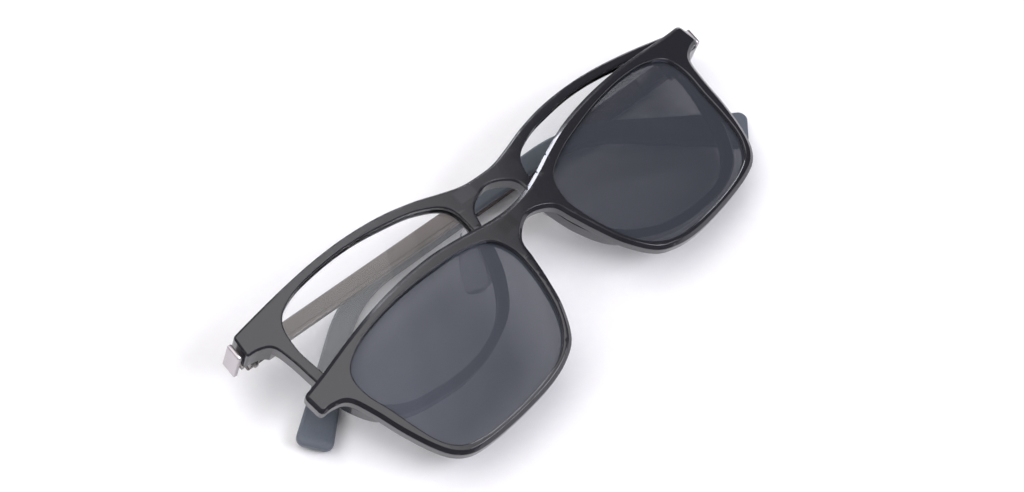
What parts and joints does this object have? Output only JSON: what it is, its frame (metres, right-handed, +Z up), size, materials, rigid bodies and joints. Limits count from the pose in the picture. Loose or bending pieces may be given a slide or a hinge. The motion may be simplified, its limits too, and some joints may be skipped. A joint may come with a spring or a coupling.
{
  "type": "spectacles with sun clip-on",
  "caption": "Folded full-rim spectacles with a magnetic sun clip-on lying on them: both temples open on their hinges and the clip turns back on to its seat.",
  "frame": {"origin": "centre of the bounding box at the table that the folded set lies on", "axes": "+Z up, away from the table; +X towards the wearer's left end of the front; +Y towards the brow"},
  "size_m": [0.1452, 0.0612, 0.0262],
  "materials": {
    "front_plastic": "satin",
    "clip_plastic": "satin",
    "clear_lens": "polished",
    "sun_lens": "polished",
    "pad_plastic": "translucent",
    "cap_metal": "satin",
    "hinge_metal": "satin",
    "temple_metal": "brushed",
    "sleeve_plastic": "matte",
    "magnet_nickel": "plated"
  },
  "bodies": {
    "front": {"front_frame": "front_plastic", "clear_lens_right": "clear_lens", "clear_lens_left": "clear_lens", "front_magnet_right": "magnet_nickel", "front_magnet_left": "magnet_nickel", "nose_pad_right": "pad_plastic", "nose_pad_left": "pad_plastic", "end_cap_right": "cap_metal", "hinge_leaf_right": "hinge_metal", "leaf_rivet_lower_right": "hinge_metal", "leaf_rivet_upper_right": "hinge_metal", "hinge_screw_right": "hinge_metal", "end_cap_left": "cap_metal", "hinge_leaf_left": "hinge_metal", "leaf_rivet_lower_left": "hinge_metal", "leaf_rivet_upper_left": "hinge_metal", "hinge_screw_left": "hinge_metal"},
    "temple_right": {"temple_bar_right": "temple_metal", "temple_knuckle_right": "hinge_metal", "temple_sleeve_right": "sleeve_plastic"},
    "temple_left": {"temple_bar_left": "temple_metal", "temple_knuckle_left": "hinge_metal", "temple_sleeve_left": "sleeve_plastic"},
    "clip": {"clip_frame": "clip_plastic", "sun_lens_right": "sun_lens", "sun_lens_left": "sun_lens", "clip_magnet_right": "magnet_nickel", "clip_magnet_left": "magnet_nickel"}
  },
  "joints": [
    {"name": "temple_right_hinge", "type": "hinge", "parent": "front", "child": "temple_right", "pos_m": [-0.0669, 0.02465, 0.01241], "axis": [0, 0.9659, 0.259], "range_deg": [0, 92]},
    {"name": "temple_left_hinge", "type": "hinge", "parent": "front", "child": "temple_left", "pos_m": [0.06642, 0.02688, 0.0041], "axis": [0, -0.9659, -0.259], "range_deg": [0, 88.5]},
    {"name": "clip_turn", "type": "hinge", "parent": "front", "child": "clip", "pos_m": [0.07223, 0.02449, 0.013], "axis": [-0.2522, 0.2241, -0.9414], "range_deg": [0, 9.5]}
  ]
}
